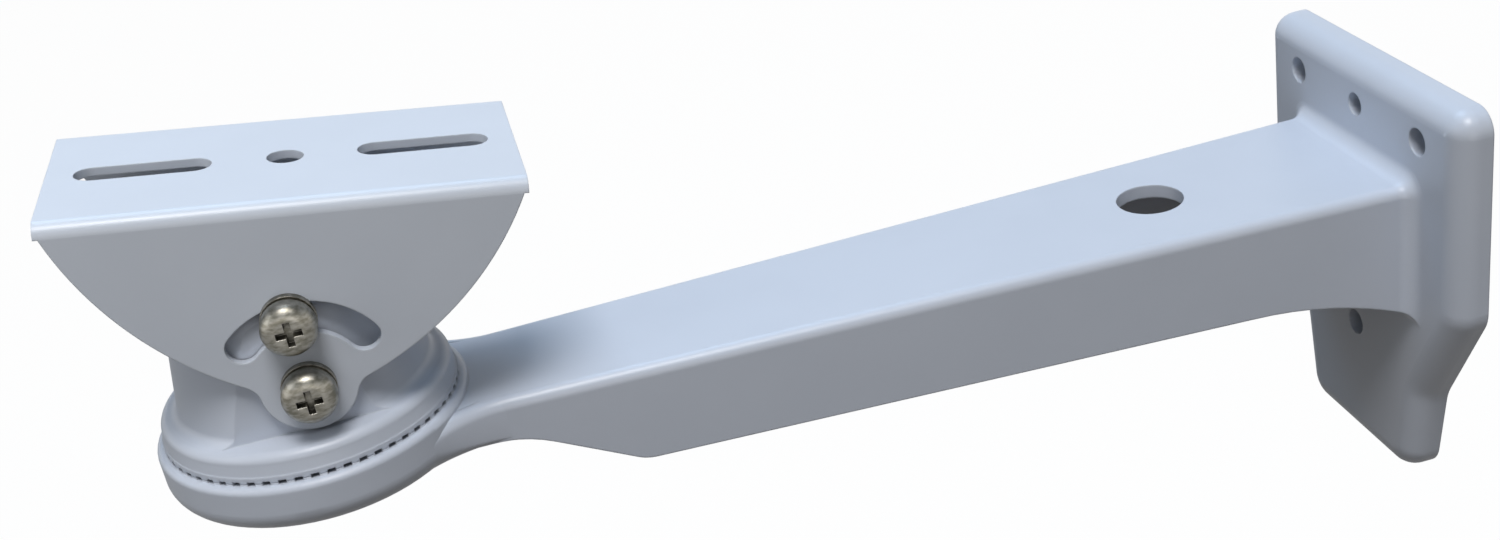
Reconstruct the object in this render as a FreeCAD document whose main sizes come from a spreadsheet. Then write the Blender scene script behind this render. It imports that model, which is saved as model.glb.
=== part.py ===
import FreeCAD, Part
import math
import os
import Sketcher
from FreeCAD import Placement, Rotation, Vector

# Camera wall bracket: a die-cast arm on a wall plate, a serrated swivel joint at its outer end,
# and a folded saddle that tilts on the swivel's neck between two pairs of screws.
# Frame: origin on the wall plate's back face at the middle one of the upper screw holes,
# +X out from the wall, +Z up, and the arm symmetrical about the plane of X and Z.

SIZES = {
    # wall plate
    "plate_width": 90.0,
    "plate_height": 109.2,
    "plate_thickness": 9.0,
    "plate_wall": 4.0,
    "plate_corner": 6.0,
    "plate_rim": 6.0,
    "plate_side": 4.0,
    "tongue_width": 49.0,
    "tongue_corner": 8.0,
    "waist_width": 58.0,
    "shoulder_height": 54.2,
    "waist_height": 25.7,
    "shoulder_radius": 9.0,
    "waist_radius": 14.0,
    "boss_width": 13.0,
    "wall_hole": 7.0,
    "middle_hole": 6.0,
    "wall_hole_spacing": 28.0,
    "wall_hole_drop": 11.5,
    "low_hole_height": 34.9,
    # arm
    "arm_drop": 23.5,
    "arm_length": 275.0,
    "arm_width_wall": 54.4,
    "arm_width_head": 37.0,
    "arm_depth_wall": 26.0,
    "arm_depth_head": 24.0,
    "flare_length": 42.0,
    "flare_drop": 9.5,
    "neckdown_start": 72.0,
    "neckdown_end": 45.5,
    "neckdown_round": 30.0,
    "corner_round": 10.0,
    "taper_end": 44.0,
    "arm_wall": 3.5,
    "arm_edge": 2.8,
    "root_fillet": 4.0,
    "cable_hole": 16.6,
    "cable_hole_place": 65.2,
    # serrated joint
    "head_width": 72.6,
    "head_depth": 10.3,
    "head_edge": 5.5,
    "head_lip": 1.5,
    "web_radius": 9.0,
    "head_wall": 5.0,
    "head_roof": 4.2,
    "joint_rise": 2.4,
    "joint_gap": 0.1,
    "tooth_count": 60.0,
    "tooth_height": 0.45,
    "tooth_length": 8.0,
    # swivel
    "disc_width": 68.6,
    "disc_height": 6.3,
    "disc_draft": 0.6,
    "disc_edge": 2.2,
    "neck_width": 52.0,
    "neck_cove": 2.5,
    "neck_rise": 25.0,
    "neck_crown": 14.0,
    "neck_gap": 0.3,
    "pivot_rise": 17.6,
    "pivot_setback": 3.4,
    # saddle
    "saddle_length": 100.0,
    "saddle_width": 54.0,
    "saddle_height": 42.9,
    "sheet": 2.0,
    "bend": 3.2,
    "cheek_inset": 1.0,
    "cheek_curve": 74.0,
    "cheek_blend": 5.0,
    "tongue_radius": 10.5,
    "slot_width": 7.8,
    "slot_start": 15.5,
    "slot_end": 44.2,
    "centre_hole": 8.0,
    "lock_radius": 16.6,
    "lock_slot_angle": 50.0,
    "slot_clearance": 0.6,
    "rest_tilt": 8.5,
    # tilt screws and washers
    "screw_width": 6.0,
    "screw_reach": 14.0,
    "head_diameter": 12.0,
    "head_height": 4.6,
    "recess_width": 1.5,
    "recess_span": 5.6,
    "recess_depth": 2.2,
    "screw_clearance": 0.3,
    "thread_clearance": 0.05,
    "washer_width": 12.0,
    "washer_thickness": 1.6,
    "spring_width": 11.0,
    "spring_thickness": 1.6,
    # swivel bolt and washers
    "bolt_width": 8.0,
    "bolt_reach": 14.0,
    "bolt_spare": 1.0,
    "bolt_head": 13.0,
    "bolt_head_height": 5.3,
    "bolt_washer_width": 18.0,
    "bolt_washer_thickness": 1.6,
    "bolt_spring_width": 14.0,
    "bolt_spring_thickness": 2.0,
    "bolt_clearance": 0.25,
}


class Dim:
    """A size with its formula in the document and its present value."""

    def __init__(self, text, value):
        self.text = text
        self.value = value

    def __add__(self, other):
        return Dim(f"({self.text} + {formula(other)})", self.value + number(other))

    def __radd__(self, other):
        return Dim(f"({formula(other)} + {self.text})", number(other) + self.value)

    def __sub__(self, other):
        return Dim(f"({self.text} - {formula(other)})", self.value - number(other))

    def __rsub__(self, other):
        return Dim(f"({formula(other)} - {self.text})", number(other) - self.value)

    def __mul__(self, other):
        return Dim(f"({self.text} * {formula(other)})", self.value * number(other))

    def __rmul__(self, other):
        return Dim(f"({formula(other)} * {self.text})", number(other) * self.value)

    def __truediv__(self, other):
        return Dim(f"({self.text} / {formula(other)})", self.value / number(other))

    def __rtruediv__(self, other):
        return Dim(f"({formula(other)} / {self.text})", number(other) / self.value)

    def __neg__(self):
        return Dim(f"(0 - {self.text})", -self.value)


def formula(term):
    """The document's text for a size or a plain number."""
    return term.text if isinstance(term, Dim) else f"{float(term)}"


def number(term):
    """The present value of a size or a plain number."""
    return term.value if isinstance(term, Dim) else float(term)


def cosine(angle):
    """Cosine of an angle in degrees."""
    return Dim(f"cos({formula(angle)} * 1deg)", math.cos(math.radians(number(angle))))


def sine(angle):
    """Sine of an angle in degrees."""
    return Dim(f"sin({formula(angle)} * 1deg)", math.sin(math.radians(number(angle))))


def root(term):
    """Square root of a size."""
    return Dim(f"sqrt({formula(term)})", math.sqrt(number(term)))


class Sizes:
    """Every driving size as an attribute, bound to its cell in the sheet."""

    def __init__(self, values):
        for name, value in values.items():
            setattr(self, name, Dim(f"Sizes.{name}", value))


doc = FreeCAD.newDocument("camera_wall_bracket")
s = Sizes(SIZES)

EPS = 0.01
"""How near two lengths count as equal when an edge is looked for."""
OVER = 1.0
"""How far a cutting form runs past what it cuts, and a joined form into what it joins."""
FULL_TURN = 360.0
RIGHT_ANGLE = 90.0


def fill_sheet():
    """Writes each driving size to the document's sheet under its own name."""
    sheet = doc.addObject("Spreadsheet::Sheet", "Sizes")
    for row, (name, value) in enumerate(SIZES.items(), start=1):
        sheet.set(f"A{row}", name)
        sheet.set(f"B{row}", str(value))
        sheet.setAlias(f"B{row}", name)
    doc.recompute()


def bind(obj, prop, term):
    """Ties a property of an object to a size."""
    obj.setExpression(prop, formula(term))


def new_body(name):
    """A body whose label is its name."""
    body = doc.addObject("PartDesign::Body", name)
    body.Label = name
    return body


def place(obj, x=0, y=0, z=0, axis=None, angle=0):
    """Puts an object at bound coordinates, turned about an axis by a bound angle."""
    if axis is not None:
        obj.Placement = Placement(Vector(0, 0, 0), Rotation(axis, 1.0))
        bind(obj, ".Placement.Rotation.Angle", angle)
    for letter, term in zip("xyz", (x, y, z)):
        bind(obj, f".Placement.Base.{letter}", term)
    return obj


def new_sketch(body, plane, name, lift=0):
    """A sketch on one of the body's own planes, lifted along the plane's normal."""
    sketch = body.newObject("Sketcher::SketchObject", name)
    face = [item for item in body.Origin.OriginFeatures if item.Role == plane][0]
    sketch.AttachmentSupport = [(face, "")]
    sketch.MapMode = "FlatFace"
    bind(sketch, ".AttachmentOffset.Base.z", lift)
    return sketch


def pin_point(sketch, index, end, x, y):
    """Holds one point of a sketch at bound coordinates from the sketch's origin."""
    for kind, term in (("DistanceX", x), ("DistanceY", y)):
        constraint = sketch.addConstraint(Sketcher.Constraint(kind, -1, 1, index, end, number(term)))
        bind(sketch, f"Constraints[{constraint}]", term)


def arc_between(start, end, radius, left):
    """An arc from start to end whose centre lies on the left or right of the chord."""
    chord = end - start
    half = chord.Length / 2
    normal = Vector(-chord.y, chord.x, 0).normalize()
    rise = math.sqrt(max(radius * radius - half * half, 0.0))
    centre = start + chord / 2 + normal * (rise if left else -rise)
    angles = [math.atan2(point.y - centre.y, point.x - centre.x) for point in (start, end)]
    if not left:
        angles.reverse()
    circle = Part.Circle(centre, Vector(0, 0, 1), radius)
    return Part.ArcOfCircle(circle, angles[0], angles[1])


def draw_loop(sketch, corners, arcs=None):
    """A closed outline through bound corners.

    arcs maps a corner's place in the list to (radius, left): the side that leaves this corner is
    an arc of that radius, with its centre on the left or right of the way round.
    """
    arcs = arcs or {}
    points = [Vector(number(x), number(y), 0) for x, y in corners]
    ends = []
    for place_in_loop, start in enumerate(points):
        finish = points[(place_in_loop + 1) % len(points)]
        if place_in_loop in arcs:
            radius, left = arcs[place_in_loop]
            index = sketch.addGeometry(arc_between(start, finish, number(radius), left), False)
            ends.append((index, 1, 2) if left else (index, 2, 1))
            constraint = sketch.addConstraint(Sketcher.Constraint("Radius", index, number(radius)))
            bind(sketch, f"Constraints[{constraint}]", radius)
        else:
            index = sketch.addGeometry(Part.LineSegment(start, finish), False)
            ends.append((index, 1, 2))
    for place_in_loop, (index, _, last) in enumerate(ends):
        following, first, _ = ends[(place_in_loop + 1) % len(ends)]
        sketch.addConstraint(Sketcher.Constraint("Coincident", index, last, following, first))
    for (index, first, _), (x, y) in zip(ends, corners):
        pin_point(sketch, index, first, x, y)


def draw_circle(sketch, x, y, width):
    """A circle of a bound diameter at a bound centre."""
    circle = Part.Circle(Vector(number(x), number(y), 0), Vector(0, 0, 1), number(width) / 2)
    index = sketch.addGeometry(circle, False)
    pin_point(sketch, index, 3, x, y)
    constraint = sketch.addConstraint(Sketcher.Constraint("Diameter", index, number(width)))
    bind(sketch, f"Constraints[{constraint}]", width)


def draw_box(sketch, low_x, high_x, low_y, high_y):
    """A rectangle between bound sides."""
    draw_loop(sketch, [(low_x, low_y), (high_x, low_y), (high_x, high_y), (low_x, high_y)])


def pad(body, sketch, length, symmetric=False, backwards=False):
    """Adds the sketch's outline as a solid of a bound length."""
    feature = body.newObject("PartDesign::Pad", sketch.Name + "_pad")
    feature.Profile = sketch
    feature.SideType = "Symmetric" if symmetric else "One side"
    feature.Reversed = backwards
    bind(feature, "Length", length)
    doc.recompute()
    return feature


def pocket(body, sketch, length=None, backwards=False):
    """Cuts the sketch's outline, to a bound depth or right through both ways."""
    before = body.Shape.Volume
    feature = body.newObject("PartDesign::Pocket", sketch.Name + "_pocket")
    feature.Profile = sketch
    if length is None:
        feature.Type = "ThroughAll"
        feature.SideType = "Symmetric"
    else:
        bind(feature, "Length", length)
        feature.Reversed = backwards
    doc.recompute()
    if body.Shape.Volume > before - EPS:
        raise RuntimeError(f"{feature.Label} cuts nothing")
    return feature


def revolve(body, sketch):
    """Turns the sketch's outline about its own vertical axis."""
    feature = body.newObject("PartDesign::Revolution", sketch.Name + "_turned")
    feature.Profile = sketch
    feature.ReferenceAxis = (sketch, ["V_Axis"])
    feature.Angle = FULL_TURN
    doc.recompute()
    return feature


def along(edge, direction):
    """Whether an edge is straight and runs along a direction."""
    if edge.Curve.TypeId != "Part::GeomLine":
        return False
    return abs(abs(edge.Curve.Direction.dot(direction)) - 1) < EPS


def ends_at(edge, **levels):
    """Whether both ends of an edge lie at the given coordinates, such as z=10."""
    for letter, level in levels.items():
        for vertex in edge.Vertexes:
            if abs(getattr(vertex.Point, letter) - number(level)) > EPS:
                return False
    return True


def edge_names(shape, test):
    """Names of the edges of a shape that pass a test."""
    return [f"Edge{place}" for place, edge in enumerate(shape.Edges, start=1) if test(edge)]


def round_edges(body, name, radius, test):
    """Rounds the edges of a body's last feature that pass a test."""
    last = body.Tip
    names = edge_names(last.Shape, test)
    if not names:
        raise RuntimeError(f"{name} finds no edge")
    feature = body.newObject("PartDesign::Fillet", name)
    feature.Base = (last, names)
    bind(feature, "Radius", radius)
    doc.recompute()
    if "Invalid" in feature.State:
        raise RuntimeError(f"{name} failed: {feature.getStatusString()}")
    return feature


def join(label, *pieces):
    """One solid of several forms."""
    fused = doc.addObject("Part::MultiFuse", label)
    fused.Label = label
    fused.Shapes = list(pieces)
    fused.Refine = True
    doc.recompute()
    return fused


def cut(label, base, tool):
    """A solid with a form taken out of it."""
    result = doc.addObject("Part::Cut", label)
    result.Label = label
    result.Base = base
    result.Tool = tool
    doc.recompute()
    if result.Shape.Volume > base.Shape.Volume - EPS:
        raise RuntimeError(f"{label} cuts nothing")
    return result


# Places worked out from the driving sizes
plate_top = s.wall_hole_drop
plate_bottom = plate_top - s.plate_height
arm_top = plate_top - s.arm_drop
joint_height = arm_top + s.joint_rise
pivot_height = joint_height + s.pivot_rise
pivot_place = s.arm_length - s.pivot_setback
neck_half = s.saddle_width / 2 - s.sheet - s.neck_gap
low_hole_place = plate_bottom + s.low_hole_height
shoulder_place = plate_bottom + s.shoulder_height
waist_place = plate_bottom + s.waist_height
hollow_end = s.arm_length - s.taper_end - s.arm_wall
seat_rise = s.joint_rise - s.joint_gap / 2 - s.tooth_height
recess_radius = s.head_width / 2 - s.head_wall - s.head_edge / 2
tooth_reach = s.disc_width / 2


def plate_outline(sketch, inset):
    """The wall plate's outline: square above, drawn in at the shoulders to a narrow tongue."""
    wide = s.plate_width / 2 - inset
    slim = s.waist_width / 2 - inset
    foot = s.tongue_width / 2 - inset
    corners = [
        (wide, plate_top - inset),
        (-wide, plate_top - inset),
        (-wide, shoulder_place),
        (-slim, waist_place),
        (-foot, plate_bottom + inset),
        (foot, plate_bottom + inset),
        (slim, waist_place),
        (wide, shoulder_place),
    ]
    draw_loop(sketch, corners)


def wall_holes(sketch, width=None):
    """The row of three holes over the arm and the one below it."""
    outer = width or s.wall_hole
    for side in (-1, 1):
        draw_circle(sketch, side * s.wall_hole_spacing, 0, outer)
    draw_circle(sketch, 0, 0, width or s.middle_hole)
    draw_circle(sketch, 0, low_hole_place, outer)


def make_plate():
    """The wall plate: rounded at the front, hollow behind, with a boss round each hole."""
    body = new_body("plate_form")
    face = new_sketch(body, "YZ_Plane", "plate_face")
    plate_outline(face, 0)
    pad(body, face, s.plate_thickness)
    out = Vector(1, 0, 0)
    roundings = (
        ("plate_corners", s.plate_corner, plate_top),
        ("shoulders", s.shoulder_radius, shoulder_place),
        ("waist", s.waist_radius, waist_place),
        ("tongue_corners", s.tongue_corner, plate_bottom),
    )
    for name, radius, level in roundings:
        round_edges(body, name, radius, lambda e: along(e, out) and ends_at(e, z=level))
    round_edges(body, "front_rim", s.plate_rim, lambda e: ends_at(e, x=s.plate_thickness))
    recess = new_sketch(body, "YZ_Plane", "plate_recess")
    plate_outline(recess, s.plate_side)
    pocket(body, recess, s.plate_thickness - s.plate_wall, backwards=True)
    bosses = new_sketch(body, "YZ_Plane", "plate_bosses")
    wall_holes(bosses, s.boss_width)
    pad(body, bosses, s.plate_thickness - s.plate_wall)
    holes = new_sketch(body, "YZ_Plane", "plate_holes")
    wall_holes(holes)
    pocket(body, holes)
    return body


def arm_side(sketch):
    """The arm seen from the side: flat on top, flared down at the wall, thinner at the head."""
    front = s.plate_thickness
    buried = s.arm_length - recess_radius
    straight = front + s.flare_length
    flare_low = arm_top - s.arm_depth_wall - s.flare_drop
    flare = (s.flare_length * s.flare_length + s.flare_drop * s.flare_drop) / (2 * s.flare_drop)
    corners = [
        (front - s.plate_wall, arm_top),
        (front - s.plate_wall, flare_low),
        (front, flare_low),
        (straight, arm_top - s.arm_depth_wall),
        (s.arm_length - s.neckdown_start, arm_top - s.arm_depth_head),
        (s.arm_length - s.neckdown_end, arm_top - s.head_depth),
        (buried, arm_top - s.head_depth),
        (buried, arm_top),
    ]
    draw_loop(sketch, corners, {2: (flare, False)})


def hollow_side(sketch):
    """The arm's hollow from the side: open below, and through the wall plate behind."""
    low = plate_bottom
    roof = arm_top - s.arm_wall
    sill = arm_top - s.arm_depth_wall - s.flare_drop + s.arm_wall
    corners = [
        (-s.plate_thickness, roof),
        (-s.plate_thickness, sill),
        (s.plate_thickness, sill),
        (s.plate_thickness, low),
        (hollow_end, low),
        (hollow_end, roof),
    ]
    draw_loop(sketch, corners)


def narrow_plan(body, inset):
    """Tapers a form in plan, from the arm's width at the wall to its width at the head."""
    wide = s.arm_width_wall / 2 - inset
    slim = s.arm_width_head / 2 - inset
    start = s.plate_thickness - s.plate_wall
    finish = s.arm_length - s.taper_end
    past = s.arm_length
    sketch = new_sketch(body, "XY_Plane", body.Name + "_taper")
    for side in (1, -1):
        corners = [
            (start, side * wide),
            (finish, side * slim),
            (past, side * slim),
            (past, side * (wide + OVER)),
            (start, side * (wide + OVER)),
        ]
        draw_loop(sketch, corners)
    pocket(body, sketch)


def make_arm_blank():
    """The arm's outside, with its long top edges rounded."""
    body = new_body("arm_form")
    side = new_sketch(body, "XZ_Plane", "arm_profile")
    arm_side(side)
    pad(body, side, s.arm_width_wall, symmetric=True)
    across = Vector(0, 1, 0)
    deep = arm_top - s.arm_depth_head
    bend = s.arm_length - s.neckdown_end
    round_edges(body, "arm_corner", s.corner_round, lambda e: along(e, across) and ends_at(e, z=deep))
    round_edges(body, "neckdown", s.neckdown_round, lambda e: along(e, across) and ends_at(e, x=bend))
    narrow_plan(body, 0)
    round_edges(body, "arm_edges", s.arm_edge, lambda e: ends_at(e, z=arm_top) and not along(e, across))
    return body


def make_hollow():
    """The form that hollows the arm."""
    body = new_body("hollow_form")
    side = new_sketch(body, "XZ_Plane", "hollow_profile")
    hollow_side(side)
    pad(body, side, s.arm_width_wall - 2 * s.arm_wall, symmetric=True)
    narrow_plan(body, s.arm_wall)
    across = Vector(0, 1, 0)
    roof = arm_top - s.arm_wall
    round_edges(body, "hollow_edges", s.arm_edge, lambda e: ends_at(e, z=roof) and not along(e, across))
    return body


def make_head():
    """The round head, webbed to the arm's sides, with a seat for the teeth on top."""
    body = new_body("head_form")
    radius = s.head_width / 2
    slim = s.arm_width_head / 2
    web = s.web_radius
    reach = radius + web
    web_y = slim + web
    web_x = root(reach * reach - web_y * web_y)
    touch_x = web_x * radius / reach
    touch_y = web_y * radius / reach
    stub = web_x + web
    plan = new_sketch(body, "XY_Plane", "head_plan", lift=-s.head_depth)
    corners = [
        (-stub, -slim),
        (-web_x, -slim),
        (-touch_x, -touch_y),
        (radius, 0),
        (-touch_x, touch_y),
        (-web_x, slim),
        (-stub, slim),
    ]
    arcs = {1: (web, False), 2: (radius, True), 3: (radius, True), 4: (web, False)}
    draw_loop(plan, corners, arcs)
    pad(body, plan, s.head_depth)
    across = Vector(0, 1, 0)
    round_edges(body, "head_rim", s.head_edge, lambda e: ends_at(e, z=-s.head_depth) and not along(e, across))
    round_edges(body, "head_shoulder", s.arm_edge, lambda e: ends_at(e, z=0) and not along(e, across))
    seat = new_sketch(body, "XY_Plane", "tooth_seat", lift=-s.arm_edge)
    draw_circle(seat, 0, 0, s.head_width)
    pad(body, seat, s.arm_edge + seat_rise)
    round_edges(body, "head_lip", s.head_lip, lambda e: ends_at(e, z=seat_rise))
    place(body, x=s.arm_length, z=arm_top)
    return body


def make_teeth(label, outer, height, upward):
    """A ring of radial teeth with flat crowns, which stops half the joint's gap short of its mate."""
    body = new_body(label)
    inner = outer - s.tooth_length
    crown = s.tooth_height
    ring = new_sketch(body, "XY_Plane", label + "_ring", lift=-OVER)
    draw_circle(ring, 0, 0, 2 * outer)
    draw_circle(ring, 0, 0, 2 * inner)
    pad(body, ring, crown + OVER)
    half_gap = FULL_TURN / (4 * s.tooth_count)
    gap = new_sketch(body, "XY_Plane", label + "_gap")
    near = inner - OVER
    far = outer + OVER
    corners = [
        (near * cosine(half_gap), -near * sine(half_gap)),
        (far * cosine(half_gap), -far * sine(half_gap)),
        (far * cosine(half_gap), far * sine(half_gap)),
        (near * cosine(half_gap), near * sine(half_gap)),
    ]
    draw_loop(gap, corners)
    groove = pocket(body, gap, crown, backwards=True)
    pattern = body.newObject("PartDesign::PolarPattern", label + "_teeth")
    pattern.Originals = [groove]
    pattern.Axis = (ring, ["N_Axis"])
    pattern.Angle = FULL_TURN
    bind(pattern, "Occurrences", s.tooth_count)
    body.Tip = pattern
    doc.recompute()
    if upward:
        place(body, x=s.arm_length, z=height)
    else:
        place(body, x=s.arm_length, z=height, axis=Vector(1, 0, 0), angle=2 * RIGHT_ANGLE)
    return body


def make_arm_casting():
    """The one-piece casting: wall plate, hollow arm and serrated head."""
    plate = make_plate()
    arm = make_arm_blank()
    joined = join("plate_and_arm", plate, arm)
    filleted = doc.addObject("Part::Fillet", "arm_root")
    filleted.Base = joined
    low = number(arm_top - s.arm_depth_wall - s.flare_drop) - EPS
    reach = number(s.arm_width_wall) / 2 + EPS

    def meets_plate(edge):
        """Whether an edge is where the arm leaves the plate's front."""
        if not ends_at(edge, x=s.plate_thickness):
            return False
        return all(abs(v.Y) < reach and low < v.Z < number(arm_top) + EPS for v in edge.Vertexes)

    radius = number(s.root_fillet)
    found = [int(name[4:]) for name in edge_names(joined.Shape, meets_plate)]
    filleted.Edges = [(index, radius, radius) for index in found]
    doc.recompute()
    teeth = make_teeth("head_teeth", tooth_reach, arm_top + seat_rise, True)
    solid = join("arm_solid", filleted, make_head(), teeth)
    hollowed = cut("arm_hollowed", solid, make_hollow())
    roof = arm_top + seat_rise - s.head_roof
    deep = s.arm_depth_wall
    bore = s.bolt_width + 2 * s.bolt_clearance
    holes = [
        cylinder("cable_hole_form", s.cable_hole, 2 * deep, s.cable_hole_place, 0, arm_top - deep),
        cylinder("head_recess_form", 2 * recess_radius, deep, s.arm_length, 0, roof - deep),
        cylinder("head_bore_form", bore, 2 * deep, s.arm_length, 0, arm_top - deep),
    ]
    return cut("arm_casting", hollowed, join("arm_holes", *holes))


def make_neck():
    """The swivel's neck: a round boss with a coved foot, domed on top and flat where the cheeks lie."""
    body = new_body("neck_form")
    sketch = new_sketch(body, "XZ_Plane", "neck_profile")
    floor = s.disc_height
    top = s.pivot_rise + s.neck_rise
    slim = s.neck_width / 2
    foot = s.disc_width / 2 - s.disc_draft - s.disc_edge
    base = s.joint_gap / 2 + s.tooth_height
    corners = [
        (0, base),
        (foot, base),
        (foot, floor),
        (foot - s.neck_cove, floor + s.neck_cove),
        (slim, top - s.neck_crown),
        (slim - s.neck_crown, top),
        (0, top),
    ]
    draw_loop(sketch, corners, {2: (s.neck_cove, False), 4: (s.neck_crown, True)})
    revolve(body, sketch)
    flats = new_sketch(body, "YZ_Plane", "neck_flats")
    for side in (1, -1):
        near, far = sorted((side * neck_half, side * s.disc_width), key=number)
        draw_box(flats, near, far, floor, top + s.neck_crown)
    pocket(body, flats)
    place(body, x=s.arm_length, z=joint_height)
    return body


def make_disc():
    """The swivel's disc, slightly tapered, with a rounded top edge."""
    body = new_body("disc_form")
    sketch = new_sketch(body, "XZ_Plane", "disc_profile")
    radius = s.disc_width / 2
    base = s.joint_gap / 2 + s.tooth_height
    edge = s.disc_edge
    slim = radius - s.disc_draft
    corners = [
        (0, base),
        (radius, base),
        (slim, s.disc_height - edge),
        (slim - edge, s.disc_height),
        (0, s.disc_height),
    ]
    draw_loop(sketch, corners, {2: (edge, True)})
    revolve(body, sketch)
    place(body, x=s.arm_length, z=joint_height)
    return body


def cylinder(name, width, length, x, y, z, axis=None, angle=RIGHT_ANGLE):
    """A bound cylinder, upright or laid along another axis."""
    form = doc.addObject("Part::Cylinder", name)
    bind(form, "Radius", width / 2)
    bind(form, "Height", length)
    place(form, x=x, y=y, z=z, axis=axis, angle=angle)
    return form


def make_swivel_base():
    """The swivel: disc with teeth below and the neck above, bored for its bolt and screws."""
    teeth = make_teeth("disc_teeth", tooth_reach, joint_height + s.joint_gap / 2 + s.tooth_height, False)
    solid = join("swivel_solid", make_disc(), make_neck(), teeth)
    thread = s.screw_width + 2 * s.thread_clearance
    across = Vector(1, 0, 0)
    bores = []
    for name, rise in (("pivot", 0), ("lock", s.lock_radius)):
        bores.append(cylinder(name + "_bore", thread, s.saddle_width, pivot_place, s.saddle_width / 2,
                              pivot_height + rise, across))
    depth = s.bolt_reach + s.joint_gap
    bolt_thread = s.bolt_width + 2 * s.thread_clearance
    bores.append(cylinder("bolt_bore", bolt_thread, 2 * depth, s.arm_length, 0, joint_height - depth))
    return cut("swivel_base", solid, join("swivel_bores", *bores))


def cheek_outline(sketch):
    """What is cut away beside the cheeks, which narrow in a long curve to a round tongue."""
    tongue = s.tongue_radius
    side = s.saddle_length / 2
    high = s.saddle_height - s.bend
    low = -(tongue + OVER)
    corners = [
        (side - s.cheek_inset, high),
        (tongue, 0),
        (0, -tongue),
        (-tongue, 0),
        (s.cheek_inset - side, high),
        (-side - OVER, high),
        (-side - OVER, low),
        (side + OVER, low),
        (side + OVER, high),
    ]
    curve = s.cheek_curve
    draw_loop(sketch, corners, {0: (curve, False), 1: (tongue, False), 2: (tongue, False), 3: (curve, False)})


def make_saddle():
    """The folded saddle: slotted top, two cheeks with a pivot hole and an arc slot each."""
    body = new_body("saddle")
    section = new_sketch(body, "YZ_Plane", "saddle_section")
    half = s.saddle_width / 2
    inner = half - s.sheet
    bent = s.saddle_height - s.bend
    inside_bend = s.bend - s.sheet
    low = -s.tongue_radius
    corners = [
        (half, low),
        (half, bent),
        (half - s.bend, s.saddle_height),
        (s.bend - half, s.saddle_height),
        (-half, bent),
        (-half, low),
        (-inner, low),
        (-inner, bent),
        (inside_bend - inner, s.saddle_height - s.sheet),
        (inner - inside_bend, s.saddle_height - s.sheet),
        (inner, bent),
        (inner, low),
    ]
    arcs = {1: (s.bend, True), 3: (s.bend, True), 7: (inside_bend, False), 9: (inside_bend, False)}
    draw_loop(section, corners, arcs)
    pad(body, section, s.saddle_length, symmetric=True)
    cheeks = new_sketch(body, "XZ_Plane", "cheek_cut")
    cheek_outline(cheeks)
    pocket(body, cheeks)
    across = Vector(0, 1, 0)
    round_edges(body, "cheek_blends", s.cheek_blend, lambda e: along(e, across) and ends_at(e, z=0))
    cut_top_slots(body)
    cut_arc_slots(body)
    place(body, x=pivot_place, z=pivot_height, axis=Vector(0, -1, 0), angle=s.rest_tilt)
    return body


def cut_top_slots(body):
    """Two round-ended slots and a round hole along the saddle's top."""
    wide = s.slot_width / 2
    first = s.slot_start + wide
    last = s.slot_end - wide
    for side, name in ((1, "outer"), (-1, "inner")):
        slot = new_sketch(body, "XY_Plane", name + "_slot", lift=s.saddle_height)
        near, far = sorted((side * first, side * last), key=number)
        draw_box(slot, near, far, -wide, wide)
        pocket(body, slot, 2 * s.sheet)
        ends = new_sketch(body, "XY_Plane", name + "_slot_ends", lift=s.saddle_height)
        draw_circle(ends, near, 0, s.slot_width)
        draw_circle(ends, far, 0, s.slot_width)
        pocket(body, ends, 2 * s.sheet)
    middle = new_sketch(body, "XY_Plane", "middle_hole_cut", lift=s.saddle_height)
    draw_circle(middle, 0, 0, s.centre_hole)
    pocket(body, middle, 2 * s.sheet)


def cut_arc_slots(body):
    """The pivot hole and the arc slot for the lock screw, through both cheeks."""
    width = s.screw_width + 2 * s.slot_clearance
    outer = s.lock_radius + width / 2
    inner = s.lock_radius - width / 2
    angle = s.lock_slot_angle
    band = new_sketch(body, "XZ_Plane", "arc_slot")
    corners = [
        (outer * sine(angle), outer * cosine(angle)),
        (-outer * sine(angle), outer * cosine(angle)),
        (-inner * sine(angle), inner * cosine(angle)),
        (inner * sine(angle), inner * cosine(angle)),
    ]
    draw_loop(band, corners, {0: (outer, True), 2: (inner, False)})
    pocket(body, band)
    ends = new_sketch(body, "XZ_Plane", "arc_slot_ends")
    for side in (1, -1):
        draw_circle(ends, side * s.lock_radius * sine(angle), s.lock_radius * cosine(angle), width)
    draw_circle(ends, 0, 0, s.screw_width + 2 * s.screw_clearance)
    pocket(body, ends)


def make_screw(label):
    """A pan-head screw with a cross recess, standing on the underside of its head."""
    body = new_body(label)
    sketch = new_sketch(body, "XZ_Plane", label + "_profile")
    shank = s.screw_width / 2
    head = s.head_diameter / 2
    tip = s.screw_clearance
    stack = s.washer_thickness + s.spring_thickness + s.sheet + s.neck_gap
    end = -(stack + s.screw_reach)
    crown = head / 2
    corners = [
        (0, end),
        (shank - tip, end),
        (shank, end + tip),
        (shank, 0),
        (head, 0),
        (head, s.head_height / 2),
        (head - crown, s.head_height),
        (0, s.head_height),
    ]
    draw_loop(sketch, corners, {5: (crown, True)})
    revolve(body, sketch)
    recess = new_sketch(body, "XY_Plane", label + "_recess", lift=s.head_height)
    wide = s.recess_width / 2
    span = s.recess_span / 2
    cross = [
        (span, -wide), (span, wide), (wide, wide), (wide, span), (-wide, span), (-wide, wide),
        (-span, wide), (-span, -wide), (-wide, -wide), (-wide, -span), (wide, -span), (wide, -wide),
    ]
    draw_loop(recess, cross)
    pocket(body, recess, s.recess_depth)
    return body


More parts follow.
